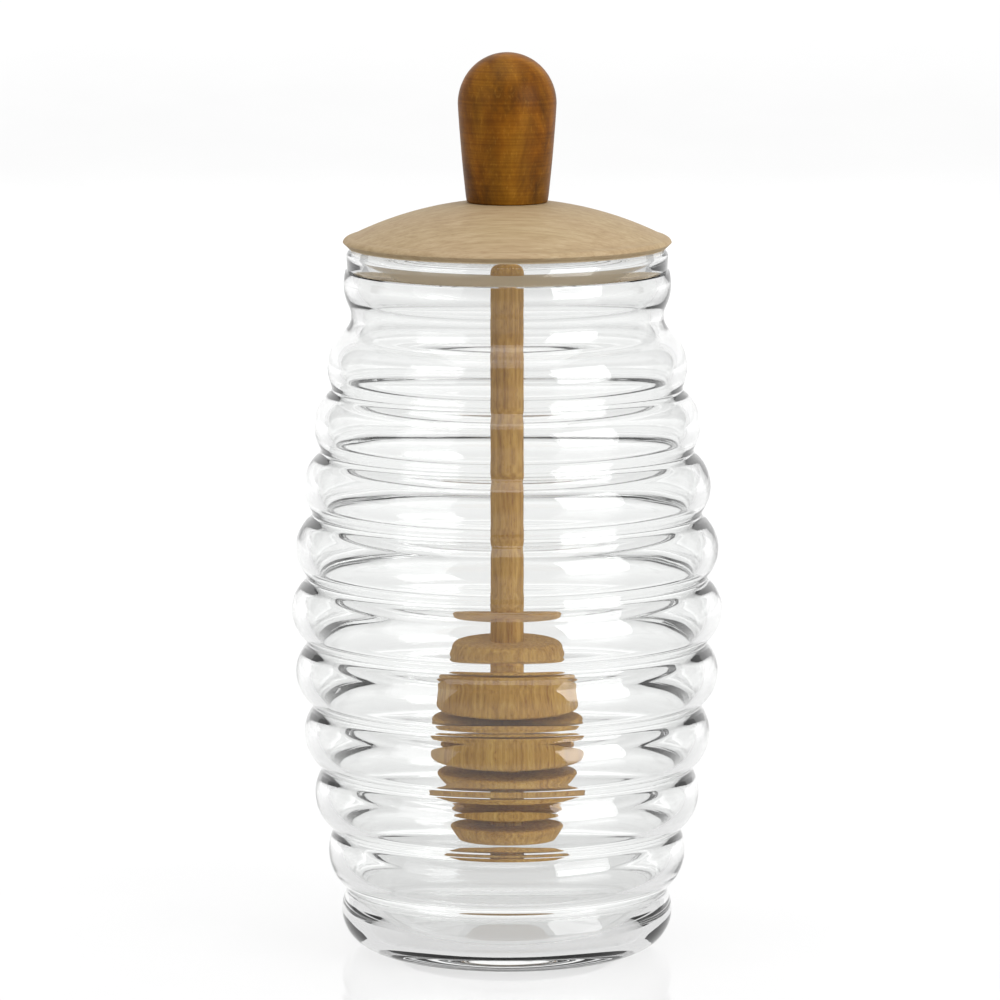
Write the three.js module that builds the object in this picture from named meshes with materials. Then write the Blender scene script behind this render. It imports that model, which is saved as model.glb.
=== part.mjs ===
// Beehive honey pot: a clear jar of stacked glass rings, a domed wooden lid with a darker knob,
// and a honey dipper that hangs from the underside of the lid.
// Millimetres, +Z up, origin at the centre of the base, where the jar stands.
import * as THREE from "three";

// Jar: a hive of rings. Each ring is an arc, and a small arc rounds the groove between two rings.
const BELT_RADIUS = 40; // crest of the widest ring
const BELT_HEIGHT = 63.6; // middle of the widest ring
const RING_PITCH = 11.68;
const PITCH_EASE = 0.02; // the rings close up a little towards both ends
const RINGS_EACH_WAY = 4;
const HIVE_TAPER = 0.7; // crest radius lost one ring away from the belt
const HIVE_POWER = 1.63; // how fast the hive draws in away from the belt
const RING_ARC = 6.9;
const RING_ARC_GAIN = 0.1; // the outer rings are a little flatter
const GROOVE_ARC = 0.8;

// Jar: foot, neck, rim and wall
const FOOT_CREST = 30.9;
const FOOT_ARC = 6.9; // a round foot ring that touches the table
const FOOT_WIDTH = 3; // flat ring that the jar stands on
const PUSH_UP = 1.2; // the middle of the base is raised by this
const FLOOR_HEIGHT = 3.6;
const NECK_CREST = 30.3;
const NECK_HEIGHT = 124.4;
const NECK_ARC = 9;
const NECK_GROOVE_ARC = 4; // the groove under the neck is wide and soft
const NOTCH_RADIUS = 29.4;
const NOTCH_HEIGHT = 126.9;
const RIM_RADIUS = 29.75;
const RIM_HEIGHT = 131;
const BEAD_RADIUS = 26.4; // the rim swells inwards to a rounded bead
const BEAD_HEIGHT = 129.5; // thickest part of the bead
const BEAD_FOOT = 126.2; // where the bead runs out into the neck
const WALL = 2.5;
const INNER_ARC = 5.6; // the inside is a smoother wave than the outside
const RIDGE_ARC = 6.6;

// Lid
const LID_RADIUS = 30.35;
const LID_NOSE_HEIGHT = 1.1; // widest edge above the underside
const LID_UNDER_RADIUS = 29.3;
const LID_DOME_RADIUS = 65;
const LID_DOME_RISE = 8.9; // top of the dome above the underside

// Knob
const KNOB_FOOT_RADIUS = 7.5;
const KNOB_RADIUS = 9.1;
const KNOB_CREST = 18.2; // height of the fullest part above the foot
const KNOB_CAP = 9.4; // height of the rounded cap

// Dipper: a stem and five turned discs, from the lowest up
const STEM_RADIUS = 3.1;
const DISCS = [
  { bottom: 16.8, top: 22.2, lowRadius: 9.3, highRadius: 10.6, chamfer: 0.7 },
  { bottom: 25, top: 31.8, lowRadius: 11.2, highRadius: 13.2, chamfer: 0.7 },
  { bottom: 34.6, top: 41.8, lowRadius: 14.3, highRadius: 14.3, chamfer: 0.8 },
  { bottom: 43.8, top: 49.8, lowRadius: 13.3, highRadius: 12.7, chamfer: 0.7 },
  { bottom: 51.8, top: 56.8, lowRadius: 10.8, highRadius: 10.4, chamfer: 1.3 },
];

// Glued pegs that join knob and stem to the lid
const PEG_RADIUS = 3.1;
const PEG_DEPTH = 3;
const GLUE_GAP = 0.1;

// Facets
const JAR_SIDES = 32;
const LID_SIDES = 32;
const KNOB_SIDES = 24;
const DIPPER_SIDES = 24;
const OUTER_STEPS = { ring: 4, groove: 2 };
const INNER_STEPS = { ring: 3, groove: 2 };
const ROUND_STEPS = 6;

const clearGlass = new THREE.MeshStandardMaterial({
  color: 0xf2f5f4,
  roughness: 0.03,
  metalness: 0,
  transparent: true,
  opacity: 0.3,
});
const paleWood = new THREE.MeshStandardMaterial({ color: 0xb99c74, roughness: 0.7, metalness: 0 });
const darkWood = new THREE.MeshStandardMaterial({ color: 0x7a4a1c, roughness: 0.45, metalness: 0 });
const dipperWood = new THREE.MeshStandardMaterial({ color: 0xa88654, roughness: 0.7, metalness: 0 });

const point = (radius, height) => new THREE.Vector2(radius, height);

// A stretch of an ellipse about (radius, height), from one angle to another, as points.
function ellipseArc(radius, height, acrossSize, upSize, from, to, steps) {
  const clockwise = to < from;
  return new THREE.EllipseCurve(radius, height, acrossSize, upSize, from, to, clockwise).getPoints(steps);
}

// A ring seen in section: a circle with its crest at a radius and a height.
const ring = (crest, height, arc) => ({ centre: point(crest - arc, height), arc });

const towards = (circle, other) => other.centre.clone().sub(circle.centre).angle();

// Points along a circle the short way from one angle to another, without the first.
function arcPoints(circle, from, to, steps) {
  const turn = THREE.MathUtils.euclideanModulo(to - from + Math.PI, 2 * Math.PI) - Math.PI;
  return Array.from({ length: steps }, (_, step) => {
    const angle = from + (turn * (step + 1)) / steps;
    return point(Math.cos(angle), Math.sin(angle)).multiplyScalar(circle.arc).add(circle.centre);
  });
}

// The circle that touches two rings from outside and rounds the groove between them.
function grooveCircle(first, second, arc) {
  const way = second.centre.clone().sub(first.centre);
  const apart = way.length();
  way.divideScalar(apart);
  const reach = first.arc + arc;
  const along = (reach ** 2 - (second.arc + arc) ** 2 + apart ** 2) / (2 * apart);
  const out = Math.sqrt(reach ** 2 - along ** 2);
  const side = point(Math.abs(way.y), -way.x * Math.sign(way.y));
  return { centre: first.centre.clone().addScaledVector(way, along).addScaledVector(side, out), arc };
}

// Points along a stack of rings and their grooves, between an angle on the first ring and one on the last.
// The last groove may have an arc of its own.
function ringLine(rings, grooveArc, lastGrooveArc, startAngle, endAngle, steps) {
  const line = arcPoints(rings[0], startAngle, startAngle, 1);
  let angle = startAngle;
  rings.slice(0, -1).forEach((circle, index) => {
    const following = rings[index + 1];
    const groove = grooveCircle(circle, following, index < rings.length - 2 ? grooveArc : lastGrooveArc);
    line.push(...arcPoints(circle, angle, towards(circle, groove), steps.ring));
    line.push(...arcPoints(groove, towards(groove, circle), towards(groove, following), steps.groove));
    angle = towards(following, groove);
  });
  return [...line, ...arcPoints(rings.at(-1), angle, endAngle, steps.ring)];
}

// The rings of the hive from the lowest up, set in from the outside by inset.
function hiveRings(inset, arcAt) {
  return Array.from({ length: 2 * RINGS_EACH_WAY + 1 }, (_, index) => {
    const step = index - RINGS_EACH_WAY;
    const crest = BELT_RADIUS - HIVE_TAPER * Math.abs(step) ** HIVE_POWER;
    const height = BELT_HEIGHT + RING_PITCH * step - PITCH_EASE * step ** 3;
    return ring(crest - inset, height, arcAt(step));
  });
}

function jarProfile() {
  const quarter = Math.PI / 2;
  const beadHalf = (RIM_RADIUS - BEAD_RADIUS) / 2;
  const standRadius = FOOT_CREST - FOOT_ARC;

  const base = [
    point(0, PUSH_UP),
    point(standRadius - FOOT_WIDTH - 8, PUSH_UP * 0.8),
    point(standRadius - FOOT_WIDTH, 0),
  ];
  const outerRings = [
    ring(FOOT_CREST, FOOT_ARC, FOOT_ARC),
    ...hiveRings(0, (step) => RING_ARC + RING_ARC_GAIN * step ** 2),
    ring(NECK_CREST, NECK_HEIGHT, NECK_ARC),
  ];
  const notchAngle = Math.asin((NOTCH_HEIGHT - NECK_HEIGHT - 0.2) / NECK_ARC);
  const outside = ringLine(outerRings, GROOVE_ARC, NECK_GROOVE_ARC, -quarter, notchAngle, OUTER_STEPS);
  const notch = [point(NOTCH_RADIUS, NOTCH_HEIGHT), point(RIM_RADIUS, NOTCH_HEIGHT + 0.7)];
  const bead = ellipseArc(RIM_RADIUS - beadHalf, BEAD_HEIGHT, beadHalf, RIM_HEIGHT - BEAD_HEIGHT,
    0, 2 * quarter, ROUND_STEPS);
  const beadFoot = [0.35, 0.65, 1].map((share) => {
    const out = 0.9 * (NECK_CREST - WALL - BEAD_RADIUS) * THREE.MathUtils.smoothstep(share, 0, 1);
    return point(BEAD_RADIUS + out, THREE.MathUtils.lerp(BEAD_HEIGHT, BEAD_FOOT, share));
  });

  const innerRings = [
    ring(FOOT_CREST - WALL, FLOOR_HEIGHT + INNER_ARC, INNER_ARC),
    ...hiveRings(WALL, () => INNER_ARC),
    ring(NECK_CREST - WALL, NECK_HEIGHT, INNER_ARC),
  ].reverse();
  const inside = ringLine(innerRings, RIDGE_ARC, RIDGE_ARC, 0, -quarter, INNER_STEPS);
  const floor = [point(12, FLOOR_HEIGHT + 0.6), point(0, FLOOR_HEIGHT + 0.9)];

  return [...base, ...outside, ...notch, ...bead, ...beadFoot, ...inside, ...floor];
}

// Height of the dome's surface above the underside of the lid.
function domeHeight(radius) {
  return LID_DOME_RISE - LID_DOME_RADIUS + Math.sqrt(LID_DOME_RADIUS ** 2 - radius ** 2);
}

const KNOB_SEAT = domeHeight(KNOB_FOOT_RADIUS);

function lidProfile() {
  const socketRadius = PEG_RADIUS + GLUE_GAP;
  const socketDepth = PEG_DEPTH + GLUE_GAP;
  const noseCentre = LID_RADIUS - 1.4;
  const domeSteps = 6;
  const domeEdge = noseCentre - 0.2;
  const dome = Array.from({ length: domeSteps + 1 }, (_, step) => {
    const radius = THREE.MathUtils.lerp(domeEdge, KNOB_FOOT_RADIUS, step / domeSteps);
    return point(radius, domeHeight(radius));
  });
  const nose = ellipseArc(noseCentre, LID_NOSE_HEIGHT, LID_RADIUS - noseCentre, domeHeight(domeEdge) - LID_NOSE_HEIGHT,
    0, Math.PI / 2, 4).slice(0, -1);
  return [
    point(0, socketDepth),
    point(socketRadius, socketDepth),
    point(socketRadius, 0),
    point(LID_UNDER_RADIUS, 0),
    ...nose,
    ...dome,
    point(socketRadius, KNOB_SEAT),
    point(socketRadius, KNOB_SEAT - socketDepth),
    point(0, KNOB_SEAT - socketDepth),
  ];
}

function knobProfile() {
  return [
    point(0, -PEG_DEPTH),
    point(PEG_RADIUS, -PEG_DEPTH),
    point(PEG_RADIUS, 0),
    point(KNOB_FOOT_RADIUS, 0),
    ...ellipseArc(0, KNOB_CREST, KNOB_RADIUS, KNOB_CAP, 0, Math.PI / 2, 8),
  ];
}

function dipperProfile() {
  const profile = [point(0, DISCS[0].bottom)];
  DISCS.forEach(({ bottom, top, lowRadius, highRadius, chamfer }, disc) => {
    if (disc > 0) profile.push(point(STEM_RADIUS, bottom));
    profile.push(point(lowRadius - chamfer, bottom), point(lowRadius, bottom + chamfer));
    profile.push(point(highRadius, top - chamfer), point(highRadius - chamfer, top));
    profile.push(point(STEM_RADIUS, top));
  });
  const stemTop = RIM_HEIGHT + PEG_DEPTH;
  profile.push(point(STEM_RADIUS, stemTop), point(0, stemTop));
  return profile;
}

// A turned piece: its profile, in radius and height, swept round the upright axis.
function turned(name, profile, sides, material, height = 0) {
  const geometry = new THREE.LatheGeometry(profile, sides).rotateX(Math.PI / 2);
  const mesh = new THREE.Mesh(geometry, material);
  mesh.name = name;
  mesh.position.z = height;
  return mesh;
}

const honeyPot = new THREE.Group();
honeyPot.add(turned("jar", jarProfile(), JAR_SIDES, clearGlass));

const lidGroup = new THREE.Group();
lidGroup.position.z = RIM_HEIGHT;
lidGroup.add(turned("lid", lidProfile(), LID_SIDES, paleWood));
lidGroup.add(turned("knob", knobProfile(), KNOB_SIDES, darkWood, KNOB_SEAT));
honeyPot.add(lidGroup);
honeyPot.add(turned("dipper", dipperProfile(), DIPPER_SIDES, dipperWood));

export default honeyPot;
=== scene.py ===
from math import atan2, cos, pi, radians, sin, sqrt
import bmesh
import bpy
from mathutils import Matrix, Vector, noise


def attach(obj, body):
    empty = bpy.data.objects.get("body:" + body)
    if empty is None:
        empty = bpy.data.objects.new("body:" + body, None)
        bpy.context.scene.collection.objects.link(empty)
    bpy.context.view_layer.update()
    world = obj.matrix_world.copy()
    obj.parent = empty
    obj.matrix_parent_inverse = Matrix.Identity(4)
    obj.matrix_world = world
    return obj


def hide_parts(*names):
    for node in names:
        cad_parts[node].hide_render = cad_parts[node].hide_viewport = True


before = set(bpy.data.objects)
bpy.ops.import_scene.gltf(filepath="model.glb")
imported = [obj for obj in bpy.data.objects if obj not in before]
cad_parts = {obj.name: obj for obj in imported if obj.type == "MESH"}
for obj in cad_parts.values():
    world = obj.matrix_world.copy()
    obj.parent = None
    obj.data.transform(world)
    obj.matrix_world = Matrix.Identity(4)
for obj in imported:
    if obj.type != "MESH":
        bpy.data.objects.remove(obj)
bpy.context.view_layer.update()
print("frame loaded:", sorted(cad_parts))

mm = 0.001  # profiles are drawn in millimetres, pieces are in metres


# A profile is drawn with a pen vertex in the XZ plane: x is the radius, z the height
def penDown(radius, height):
    bm = bmesh.new()
    return bm, bm.verts.new((radius, 0, height))


def lineTo(bm, pen, radius, height):
    tip = bmesh.ops.extrude_vert_indiv(bm, verts=[pen])["verts"][0]
    tip.co = (radius, 0, height)
    return tip


def arcRound(bm, pen, centre, angle, steps):
    made = bmesh.ops.spin(bm, geom=[pen], cent=(centre[0], 0, centre[1]),
                          axis=(0, -1, 0), angle=angle, steps=steps)
    return next(v for v in made["geom_last"] if isinstance(v, bmesh.types.BMVert))


# Swings the pen about a centre until it lies towards a target
def swingTo(bm, pen, centre, target, steps):
    here = atan2(pen.co.z - centre[1], pen.co.x - centre[0])
    there = atan2(target[1] - centre[1], target[0] - centre[0])
    return arcRound(bm, pen, centre, (there - here + pi) % (2 * pi) - pi, steps)


# Centre of the small circle that touches two ring circles from outside
def grooveBetween(lower, upper, grooveRadius):
    low, high = Vector(lower[:2]), Vector(upper[:2])
    lowReach, highReach = lower[2] + grooveRadius, upper[2] + grooveRadius
    apart = (high - low).length
    along = (lowReach ** 2 - highReach ** 2 + apart ** 2) / (2 * apart)
    out = sqrt(lowReach ** 2 - along ** 2)
    way = (high - low) / apart
    side = Vector((way.y, -way.x)) if way.y > 0 else Vector((-way.y, way.x))
    return low + way * along + side * out


# Draws a stack of rings with rounded grooves, from the first ring to the last
def followRings(bm, pen, rings, grooveRadius, steps):
    for ring, following in zip(rings, rings[1:]):
        groove = grooveBetween(ring, following, grooveRadius)
        pen = swingTo(bm, pen, ring[:2], groove, steps["ring"])
        pen = swingTo(bm, pen, groove, following[:2], steps["groove"])
    return pen


# Spins the finished profile round Z and makes a smooth piece of it, from the values in its dictionary
def turnPiece(bm, name, values):
    bmesh.ops.spin(bm, geom=bm.verts[:] + bm.edges[:], cent=(0, 0, 0), axis=(0, 0, 1),
                   angle=2 * pi, steps=values["turns"], use_merge=True)
    bmesh.ops.remove_doubles(bm, verts=bm.verts[:], dist=0.0005)
    bmesh.ops.recalc_face_normals(bm, faces=bm.faces[:])
    for vert in bm.verts:  # hand-made unevenness, none where the piece stands
        if vert.co.z > 1:
            uneven = values["wobble"] * noise.noise(vert.co / values["wobbleSize"])
            push = 1 + uneven / max(vert.co.xy.length, 1)
            vert.co.x *= push
            vert.co.y *= push
    bmesh.ops.scale(bm, vec=(mm, mm, mm), verts=bm.verts[:])
    for face in bm.faces:
        face.smooth = True
    mesh = bpy.data.meshes.new(name)
    bm.to_mesh(mesh)
    bm.free()
    mesh.set_sharp_from_angle(angle=radians(values["sharpDegrees"]))
    piece = bpy.data.objects.new(name, mesh)
    bpy.context.scene.collection.objects.link(piece)
    return piece


def standsFor(piece, node, material):
    piece.data.materials.append(material)
    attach(piece, "root")
    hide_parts(node)


# Node helpers: a value is set on the socket, a socket is linked to it
def addNode(tree, kind, values=None, **settings):
    node = tree.nodes.new(kind)
    for key, value in settings.items():
        setattr(node, key, value)
    for key, value in (values or {}).items():
        if isinstance(value, bpy.types.NodeSocket):
            tree.links.new(value, node.inputs[key])
        else:
            node.inputs[key].default_value = value
    return node


def colour(red, green, blue):  # screen colour to linear
    def linear(c):
        c /= 255
        return c / 12.92 if c <= 0.04045 else ((c + 0.055) / 1.055) ** 2.4
    return (linear(red), linear(green), linear(blue), 1)


def ramp(tree, factor, stops):
    node = addNode(tree, "ShaderNodeValToRGB", {"Fac": factor})
    points = node.color_ramp.elements
    while len(points) < len(stops):
        points.new(1)
    for point, (place, shade) in zip(points, stops):
        point.position = place
        point.color = colour(*shade)
    return node.outputs["Color"]


def mixColours(tree, factor, first, second, blend="MIX"):
    node = addNode(tree, "ShaderNodeMix", data_type="RGBA", blend_type=blend)
    for socket, value in zip((node.inputs[0], node.inputs[6], node.inputs[7]), (factor, first, second)):
        if isinstance(value, bpy.types.NodeSocket):
            tree.links.new(value, socket)
        else:
            socket.default_value = value
    return node.outputs[2]


# Object coordinates in millimetres, stretched per axis
def millimetres(tree, stretch=(1, 1, 1), shift=(0, 0, 0)):
    where = addNode(tree, "ShaderNodeTexCoord").outputs["Object"]
    scale = tuple(1000 * s for s in stretch)
    node = addNode(tree, "ShaderNodeMapping", {"Vector": where, "Scale": scale, "Location": shift})
    return node.outputs["Vector"]


def grainNoise(tree, stretch, size=1.0, detail=4.0, rough=0.6, shift=(0, 0, 0), distort=0.0):
    place = millimetres(tree, stretch, shift)
    node = addNode(tree, "ShaderNodeTexNoise", {"Vector": place, "Scale": size, "Detail": detail,
                                                "Roughness": rough, "Distortion": distort})
    return node.outputs["Fac"]


def newMaterial(name):
    material = bpy.data.materials.new(name)
    material.use_nodes = True
    tree = material.node_tree
    return material, tree, tree.nodes["Principled BSDF"]


def bumpInto(tree, shader, height, strength, distance):
    bump = addNode(tree, "ShaderNodeBump", {"Height": height, "Strength": strength, "Distance": distance})
    tree.links.new(bump.outputs["Normal"], shader.inputs["Normal"])


# The glass jar: a ring in section is a circle, given as (centre radius, centre height, arc)
jar = {
    "beltRadius": 40, "beltHeight": 63.6, "pitch": 11.68, "pitchEase": 0.02, "ringsEachWay": 4,
    "crestDrop": 0.7, "crestPower": 1.63, "ringArc": 6.9, "ringArcGain": 0.1, "grooveArc": 1.5,
    "footCrest": 30.9, "footArc": 6.9, "footWidth": 3, "pushUp": 1.2, "pushUpEase": 0.9,
    "floorTop": 3.6, "floorRise": 0.9,
    "neckCrest": 30.3, "neckHeight": 124.4, "neckArc": 9.0,
    "neckGrooveArc": 4.0, "notchHeight": 126.9, "notchRadius": 29.4,
    "rimRadius": 29.75, "rimTop": 131, "beadHeight": 129.5, "beadRadius": 26.4, "beadFoot": 126.2,
    "wall": 2.5, "innerArc": 5.6, "ridgeArc": 6.6,
    "beadRunOut": 0.9, "steps": {"ring": 16, "groove": 8, "bead": 14, "end": 12},
    "turns": 180, "sharpDegrees": 60, "wobble": 0.12, "wobbleSize": 26,
    "tint": (0.905, 0.91, 0.906, 1), "bending": 1.48, "haze": 0.012,
}


def hiveRings(inset, innerArc=0):
    rings = []
    for step in range(-jar["ringsEachWay"], jar["ringsEachWay"] + 1):
        crest = jar["beltRadius"] - jar["crestDrop"] * abs(step) ** jar["crestPower"] - inset
        height = jar["beltHeight"] + jar["pitch"] * step - jar["pitchEase"] * step ** 3
        arc = innerArc or jar["ringArc"] + jar["ringArcGain"] * step ** 2
        rings.append((crest - arc, height, arc))
    return rings


def makeJar():
    wall, rimTop, rimRadius, notch = jar["wall"], jar["rimTop"], jar["rimRadius"], jar["notchHeight"]
    bead = jar["beadHeight"]
    stand = jar["footCrest"] - jar["footArc"]
    hollow = stand - jar["footWidth"]
    neck = (jar["neckCrest"] - jar["neckArc"], jar["neckHeight"], jar["neckArc"])
    outside = [(stand, jar["footArc"], jar["footArc"])] + hiveRings(0) + [neck]
    bm, pen = penDown(0, jar["pushUp"])
    for share in (0.25, 0.5, 0.75):
        pen = lineTo(bm, pen, hollow * share, jar["pushUp"] * (1 - share ** 2 * jar["pushUpEase"]))
    pen = lineTo(bm, pen, hollow, 0)
    pen = lineTo(bm, pen, stand, 0)
    pen = followRings(bm, pen, outside[:-1], jar["grooveArc"], jar["steps"])
    pen = followRings(bm, pen, outside[-2:], jar["neckGrooveArc"], jar["steps"])
    pen = swingTo(bm, pen, neck[:2], (jar["notchRadius"] + 0.4, notch - 0.2), jar["steps"]["end"])
    pen = lineTo(bm, pen, jar["notchRadius"], notch)
    pen = lineTo(bm, pen, rimRadius - 0.1, notch + 0.5)
    pen = lineTo(bm, pen, rimRadius, bead)
    halfRim = (rimRadius - jar["beadRadius"]) / 2
    beadSteps = jar["steps"]["bead"]
    for step in range(1, beadSteps + 1):  # the rounded bead, half an oval
        turn = pi * step / beadSteps
        pen = lineTo(bm, pen, rimRadius - halfRim + halfRim * cos(turn), bead + (rimTop - bead) * sin(turn))

    # The inside, from the rim down to the floor
    arc = jar["innerArc"]
    innerNeck = (jar["neckCrest"] - wall - arc, jar["neckHeight"], arc)
    innerFoot = (jar["footCrest"] - wall - arc, jar["floorTop"] + arc, arc)
    inside = [innerNeck] + hiveRings(wall, arc)[::-1] + [innerFoot]
    beadIn = jar["beadRadius"]
    slope = (jar["neckCrest"] - wall - beadIn) * jar["beadRunOut"]
    slopeSteps = jar["steps"]["groove"]
    for step in range(1, slopeSteps + 1):  # the bead runs out into the neck
        share = step / slopeSteps
        ease = share * share * (3 - 2 * share)
        pen = lineTo(bm, pen, beadIn + slope * ease, bead + (jar["beadFoot"] - bead) * share)
    pen = lineTo(bm, pen, innerNeck[0] + arc, innerNeck[1])
    pen = followRings(bm, pen, inside, jar["ridgeArc"], jar["steps"])
    pen = swingTo(bm, pen, innerFoot[:2], (innerFoot[0], 0), jar["steps"]["end"])
    for share in (0.75, 0.5, 0.25, 0):
        pen = lineTo(bm, pen, innerFoot[0] * share, jar["floorTop"] + jar["floorRise"] * (1 - share ** 2))
    return turnPiece(bm, "jarGlass", jar)


def glassMaterial():
    material, tree, shader = newMaterial("clearGlass")
    shader.inputs["Base Color"].default_value = jar["tint"]
    shader.inputs["Transmission Weight"].default_value = 1
    shader.inputs["IOR"].default_value = jar["bending"]
    smear = grainNoise(tree, (0.02, 0.02, 0.05), 1.0, 2.0)
    haze = addNode(tree, "ShaderNodeMapRange", {"Value": smear, "To Min": 0.0, "To Max": jar["haze"]})
    tree.links.new(haze.outputs["Result"], shader.inputs["Roughness"])
    ripple = grainNoise(tree, (0.03, 0.03, 0.12), 1.0, 1.0, shift=(5, 2, 0))
    bumpInto(tree, shader, ripple, 0.12, 0.002)
    return material


jarGlass = makeJar()
standsFor(jarGlass, "jar", glassMaterial())
print("jar turned:", len(jarGlass.data.polygons), "faces")


# The wooden lid
lid = {
    "under": 131, "noseRadius": 30.35, "noseHeight": 1.1, "underRadius": 29.3, "underRound": 0.5,
    "domeRadius": 65, "domeRise": 8.9, "noseReach": 1.4,
    "noseLean": 0.1, "noseEnd": 0.985, "domeInset": 0.3, "seatRadius": 7.5, "noseSteps": 12, "domeSteps": 24,
    "turns": 160, "sharpDegrees": 50, "wobble": 0.05, "wobbleSize": 15,
    # the underside colour and its share are painted light: the underside is painted paler to stand in for
    # light coming through the glass
    "roughness": 0.62, "gloss": 0.4, "litUndersideWood": (238, 216, 178), "litUndersideShare": 0.75,
}


def domeAt(radius):
    return lid["under"] + lid["domeRise"] - lid["domeRadius"] + sqrt(lid["domeRadius"] ** 2 - radius ** 2)


def makeLid():
    under = lid["under"]
    bm, pen = penDown(0, under)
    pen = lineTo(bm, pen, lid["underRadius"] - lid["underRound"], under)
    pen = lineTo(bm, pen, lid["underRadius"], under + 0.1)
    noseTop = lid["noseRadius"] - lid["noseReach"]
    noseRise = domeAt(noseTop) - under - lid["noseHeight"]
    for step in range(lid["noseSteps"]):  # the rounded nose, a quarter of an ellipse
        turn = pi / 2 * step / lid["noseSteps"]
        pen = lineTo(bm, pen, noseTop + lid["noseReach"] * cos(turn) * (1 - lid["noseLean"] * sin(turn)),
                     under + lid["noseHeight"] + noseRise * sin(turn) * lid["noseEnd"])
    for step in range(lid["domeSteps"]):
        radius = (noseTop - lid["domeInset"]) * (1 - step / lid["domeSteps"])
        pen = lineTo(bm, pen, radius, domeAt(max(radius, lid["seatRadius"])))
    pen = lineTo(bm, pen, 0, domeAt(lid["seatRadius"]))
    return turnPiece(bm, "lidWood", lid)


def lidMaterial():
    material, tree, shader = newMaterial("paleWood")
    fibre = grainNoise(tree, (0.06, 0.9, 1.4), 1.0, 7.0, 0.62, distort=0.3)
    fine = grainNoise(tree, (0.25, 3.2, 3.2), 1.0, 3.0, 0.6, shift=(2, 5, 1))
    grain = mixColours(tree, 0.4, fibre, fine)
    wood = ramp(tree, grain, [(0.3, (138, 116, 84)), (0.5, (158, 138, 106)), (0.7, (174, 156, 127))])
    patch = grainNoise(tree, (0.035, 0.06, 0.06), 1.0, 3.0, shift=(7, 1, 2))
    warm = ramp(tree, patch, [(0.35, (250, 240, 232)), (0.65, (255, 252, 240))])
    wood = mixColours(tree, 0.6, wood, warm, "MULTIPLY")
    pores = grainNoise(tree, (0.35, 4.0, 4.0), 1.0, 2.0, 0.5, shift=(1, 4, 9))
    dark = ramp(tree, pores, [(0.62, (255, 255, 255)), (0.74, (196, 170, 140))])
    wood = mixColours(tree, 0.5, wood, dark, "MULTIPLY")
    height = addNode(tree, "ShaderNodeSeparateXYZ", {"Vector": millimetres(tree)}).outputs["Z"]
    paintedUnderLight = addNode(tree, "ShaderNodeMapRange", {  # painted light: the underside and the foot of the nose are painted paler, standing in for light that reaches them through the glass
        "Value": height, "From Min": lid["under"] + 0.05, "From Max": lid["under"] + 0.4,
        "To Min": lid["litUndersideShare"], "To Max": 0.0})
    wood = mixColours(tree, paintedUnderLight.outputs["Result"], wood, colour(*lid["litUndersideWood"]))
    tree.links.new(wood, shader.inputs["Base Color"])
    shader.inputs["Roughness"].default_value = lid["roughness"]
    shader.inputs["Specular IOR Level"].default_value = lid["gloss"]
    bumpInto(tree, shader, grain, 0.25, 0.0002)
    return material


lidWood = makeLid()
standsFor(lidWood, "lid", lidMaterial())
print("lid turned:", len(lidWood.data.polygons), "faces")


# The stained knob
knob = {
    "footRadius": 7.5, "radius": 9.1, "crest": 18.2, "cap": 9.4, "footRound": 0.4, "bulge": 0.35,
    "sideSteps": 16, "capSteps": 28, "turns": 128, "sharpDegrees": 50, "wobble": 0.05, "wobbleSize": 8,
    "roughness": 0.4, "gloss": 0.07,
}
knobFoot = domeAt(lid["seatRadius"])


def makeKnob():
    foot, roundEdge = knob["footRadius"], knob["footRound"]
    bm, pen = penDown(0, knobFoot)
    pen = lineTo(bm, pen, foot - roundEdge, knobFoot)
    pen = arcRound(bm, pen, (foot - roundEdge, knobFoot + roundEdge), pi / 2, 5)
    for step in range(1, knob["sideSteps"] + 1):  # straight taper that eases into the cap
        share = step / knob["sideSteps"]
        widen = (knob["radius"] - foot) * (share + knob["bulge"] * share * (1 - share))
        pen = lineTo(bm, pen, foot + widen, knobFoot + knob["crest"] * share)
    crestHeight = pen.co.z
    arcRound(bm, pen, (0, crestHeight), pi / 2, knob["capSteps"])
    for vert in bm.verts:  # a round cap, stretched to an oval one
        if vert.co.z > crestHeight:
            vert.co.z = crestHeight + (vert.co.z - crestHeight) * knob["cap"] / knob["radius"]
    return turnPiece(bm, "knobWood", knob)


def knobMaterial():
    material, tree, shader = newMaterial("darkWood")
    blotch = grainNoise(tree, (0.16, 0.16, 0.08), 1.0, 5.0, 0.62, shift=(2, 3, 5), distort=0.6)
    wood = ramp(tree, blotch, [(0.3, (78, 49, 14)), (0.48, (110, 70, 14)), (0.62, (130, 86, 20)),
                                (0.8, (148, 103, 34))])
    red = grainNoise(tree, (0.12, 0.12, 0.06), 1.0, 3.0, shift=(11, 6, 1))
    tint = ramp(tree, red, [(0.4, (255, 255, 255)), (0.7, (255, 226, 190))])
    wood = mixColours(tree, 0.8, wood, tint, "MULTIPLY")
    fleck = grainNoise(tree, (2.2, 2.2, 0.9), 1.0, 2.0, 0.5)
    golden = ramp(tree, fleck, [(0.58, (0, 0, 0)), (0.72, (70, 52, 20))])
    wood = mixColours(tree, 0.7, wood, golden, "ADD")
    turning = grainNoise(tree, (0.02, 0.02, 2.2), 1.0, 3.0, 0.6, shift=(0, 0, 3))
    lines = ramp(tree, turning, [(0.35, (200, 190, 180)), (0.6, (255, 255, 255))])
    wood = mixColours(tree, 0.6, wood, lines, "MULTIPLY")
    tree.links.new(wood, shader.inputs["Base Color"])
    shader.inputs["Roughness"].default_value = knob["roughness"]
    shader.inputs["Specular IOR Level"].default_value = knob["gloss"]
    bumpInto(tree, shader, turning, 0.15, 0.0002)
    return material


knobWood = makeKnob()
standsFor(knobWood, "knob", knobMaterial())
print("knob turned:", len(knobWood.data.polygons), "faces")


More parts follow.
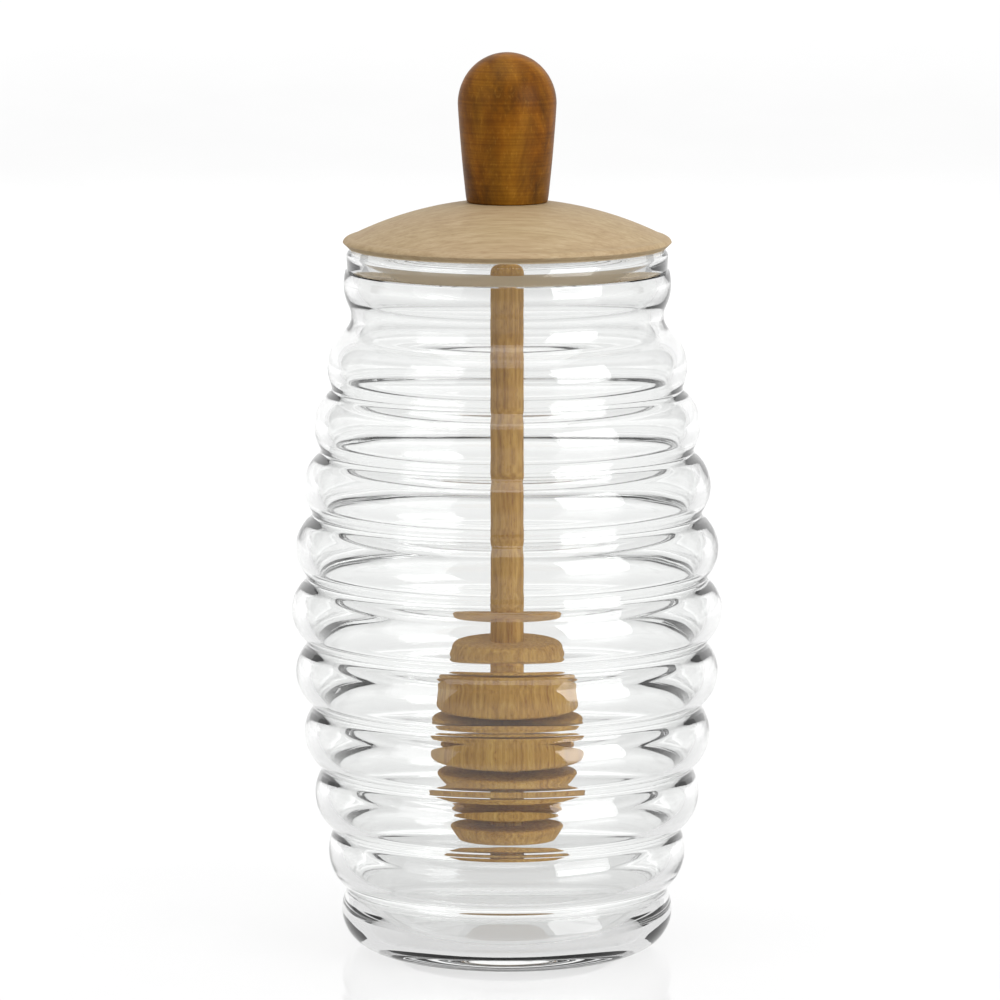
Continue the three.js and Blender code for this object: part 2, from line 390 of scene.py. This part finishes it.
# The honey dipper: discs from the top, as (bottom, top, low radius, high radius, edge round)
dipper = {
    "stemRadius": 3.1, "stemTop": 131, "edgeSteps": 6, "roughness": 0.68, "gloss": 0.35,
    "turns": 112, "sharpDegrees": 50, "wobble": 0.06, "wobbleSize": 9,
    "discs": [(51.8, 56.8, 10.8, 10.4, 1.8), (43.8, 49.8, 13.3, 12.7, 0.8), (34.6, 41.8, 14.3, 14.3, 1.0),
              (25.0, 31.8, 11.2, 13.2, 0.8), (16.8, 22.2, 9.3, 10.6, 0.8)],
}


def makeDipper():
    stem = dipper["stemRadius"]
    lowest = dipper["discs"][-1]
    bm, pen = penDown(0, lowest[0])
    for bottom, top, lowRadius, highRadius, edge in reversed(dipper["discs"]):
        if bottom != lowest[0]:
            pen = lineTo(bm, pen, stem, bottom)
        pen = lineTo(bm, pen, lowRadius - edge, bottom)
        pen = arcRound(bm, pen, (lowRadius - edge, bottom + edge), pi / 2, dipper["edgeSteps"])
        pen = lineTo(bm, pen, highRadius, top - edge)
        pen = arcRound(bm, pen, (highRadius - edge, top - edge), pi / 2, dipper["edgeSteps"])
        pen = lineTo(bm, pen, stem, top)
    pen = lineTo(bm, pen, stem, dipper["stemTop"])
    pen = lineTo(bm, pen, 0, dipper["stemTop"])
    return turnPiece(bm, "dipperWood", dipper)


def dipperMaterial():
    material, tree, shader = newMaterial("dipperWood")
    fibre = grainNoise(tree, (1.5, 1.5, 0.12), 1.0, 5.0, 0.6)
    wood = ramp(tree, fibre, [(0.3, (158, 112, 44)), (0.5, (194, 150, 70)), (0.7, (214, 176, 94))])
    patch = grainNoise(tree, (0.1, 0.1, 0.05), 1.0, 3.0, shift=(4, 2, 8))
    tint = ramp(tree, patch, [(0.35, (232, 218, 200)), (0.65, (255, 252, 245))])
    wood = mixColours(tree, 0.8, wood, tint, "MULTIPLY")
    fleck = grainNoise(tree, (3.5, 3.5, 0.7), 1.0, 2.0, 0.5, shift=(3, 3, 3))
    dark = ramp(tree, fleck, [(0.6, (255, 255, 255)), (0.72, (190, 150, 110))])
    wood = mixColours(tree, 0.6, wood, dark, "MULTIPLY")
    tree.links.new(wood, shader.inputs["Base Color"])
    shader.inputs["Roughness"].default_value = dipper["roughness"]
    shader.inputs["Specular IOR Level"].default_value = dipper["gloss"]
    bumpInto(tree, shader, fibre, 0.2, 0.0002)
    return material


dipperWood = makeDipper()
standsFor(dipperWood, "dipper", dipperMaterial())
print("dipper turned:", len(dipperWood.data.polygons), "faces")


# Studio: a white sweep, pale side panels, soft lights and the camera
studio = {
    "floorWidth": 3.0, "front": -2.2, "back": 2.2, "wallHeight": 3.0, "bend": 1.0,
    "floorGlow": 0.66, "frontGlow": 0.35, "fadeFrom": -1.6, "fadeTo": -0.2,
    "wallGlow": 0.95, "glowRise": 0.125, "panelGlow": 0.72, "floorShine": 0.07, "airGlow": 0.6,
    "floorRough": 0.06, "panelRough": 0.8,
    "panelAway": 1.5, "panelLength": 1.2, "panelHeight": 2.4, "panelShift": 0.1,
    "lightAim": (0, 0, 0.1),
    "lights": [("topSoft", (0, -0.2, 1.4), (1.4, 1.2), 10), ("rightSoft", (1.1, -0.9, 0.55), (1.0, 1.0), 16),
               ("leftSoft", (-1.1, -0.9, 0.55), (1.0, 1.0), 3.5)],
    "distance": 1.1, "eyeHeight": 0.245, "downDegrees": 8.33, "lens": 215.57, "asideDegrees": 0.069,
}


def stageMaterial(name, glow, roughness):
    material, tree, shader = newMaterial(name)
    cloth = grainNoise(tree, (0.02, 0.02, 0.02), 1.0, 2.0)
    shade = ramp(tree, cloth, [(0.3, (108, 108, 108)), (0.7, (112, 112, 112))])
    tree.links.new(shade, shader.inputs["Base Color"])
    shader.inputs["Roughness"].default_value = roughness
    shader.inputs["Specular IOR Level"].default_value = studio["floorShine"]
    shader.inputs["Emission Color"].default_value = (1, 1, 1, 1)
    shader.inputs["Emission Strength"].default_value = glow
    return material


# The floor shines at a low angle, so it glows less than the wall, and it fades towards the front
def sweepMaterial():
    material = stageMaterial("whiteSweep", studio["wallGlow"], studio["floorRough"])
    tree = material.node_tree
    where = addNode(tree, "ShaderNodeTexCoord").outputs["Object"]
    place = addNode(tree, "ShaderNodeSeparateXYZ", {"Vector": where})
    floor = addNode(tree, "ShaderNodeMapRange", {
        "Value": place.outputs["Y"], "From Min": studio["fadeFrom"], "From Max": studio["fadeTo"],
        "To Min": studio["frontGlow"], "To Max": studio["floorGlow"]})
    wall = addNode(tree, "ShaderNodeMapRange", {
        "Value": place.outputs["Z"], "From Min": 0.0, "From Max": studio["glowRise"],
        "To Min": 0.0, "To Max": studio["wallGlow"] - studio["floorGlow"]})
    both = {0: floor.outputs["Result"], 1: wall.outputs["Result"]}
    glow = addNode(tree, "ShaderNodeMath", both, operation="ADD")
    tree.links.new(glow.outputs["Value"], tree.nodes["Principled BSDF"].inputs["Emission Strength"])
    return material


def stagePiece(bm, name, material):
    for face in bm.faces:
        face.smooth = True
    mesh = bpy.data.meshes.new(name)
    bm.to_mesh(mesh)
    bm.free()
    piece = bpy.data.objects.new(name, mesh)
    bpy.context.scene.collection.objects.link(piece)
    mesh.materials.append(material)


def makeSweep():
    bm = bmesh.new()
    bmesh.ops.create_grid(bm, x_segments=1, y_segments=1, size=1)
    halfWidth = studio["floorWidth"] / 2
    for vert in bm.verts:
        vert.co = (halfWidth * vert.co.x, studio["front"] if vert.co.y < 0 else studio["back"], 0)
    backEdge = [e for e in bm.edges if all(v.co.y > 0 for v in e.verts)]
    raised = bmesh.ops.extrude_edge_only(bm, edges=backEdge)["geom"]
    bmesh.ops.translate(bm, vec=(0, 0, studio["wallHeight"]),
                        verts=[v for v in raised if isinstance(v, bmesh.types.BMVert)])
    bmesh.ops.bevel(bm, geom=backEdge, offset=studio["bend"], segments=16, profile=0.5,
                    affect="EDGES", material=-1)
    stagePiece(bm, "sweep", sweepMaterial())


# Pale panels at both sides give the glass its soft grey edges
def makeSidePanel(side):
    bm = bmesh.new()
    bmesh.ops.create_grid(bm, x_segments=1, y_segments=1, size=1)
    for vert in bm.verts:
        vert.co = (side * studio["panelAway"], studio["panelLength"] * vert.co.y + studio["panelShift"],
                   studio["panelHeight"] * (vert.co.x + 1) / 2)
    stagePiece(bm, "sidePanel", stageMaterial("palePanel", studio["panelGlow"], studio["panelRough"]))


def softLight(name, place, aim, size, power):
    light = bpy.data.lights.new(name, "AREA")
    light.shape = "RECTANGLE"
    light.size, light.size_y = size
    light.energy = power
    lamp = bpy.data.objects.new(name, light)
    lamp.location = place
    lamp.rotation_euler = (Vector(aim) - Vector(place)).to_track_quat("-Z", "Y").to_euler()
    lamp.visible_camera = False
    bpy.context.scene.collection.objects.link(lamp)


def makeCamera():
    camera = bpy.data.cameras.new("photoView")
    camera.lens = studio["lens"]
    camera.sensor_width = 36
    camera.clip_end = 20
    viewer = bpy.data.objects.new("photoView", camera)
    viewer.location = (0, -studio["distance"], studio["eyeHeight"])
    viewer.rotation_euler = (radians(90 - studio["downDegrees"]), 0, radians(studio["asideDegrees"]))
    bpy.context.scene.collection.objects.link(viewer)
    bpy.context.scene.camera = viewer


makeSweep()
makeSidePanel(-1)
makeSidePanel(1)
for lightName, place, size, power in studio["lights"]:
    softLight(lightName, place, studio["lightAim"], size, power)
makeCamera()
world = bpy.data.worlds.new("studioAir")
world.use_nodes = True
world.node_tree.nodes["Background"].inputs["Color"].default_value = (1, 1, 1, 1)
world.node_tree.nodes["Background"].inputs["Strength"].default_value = studio["airGlow"]
scene = bpy.context.scene
scene.world = world
scene.view_settings.view_transform = "Standard"
print("studio set")
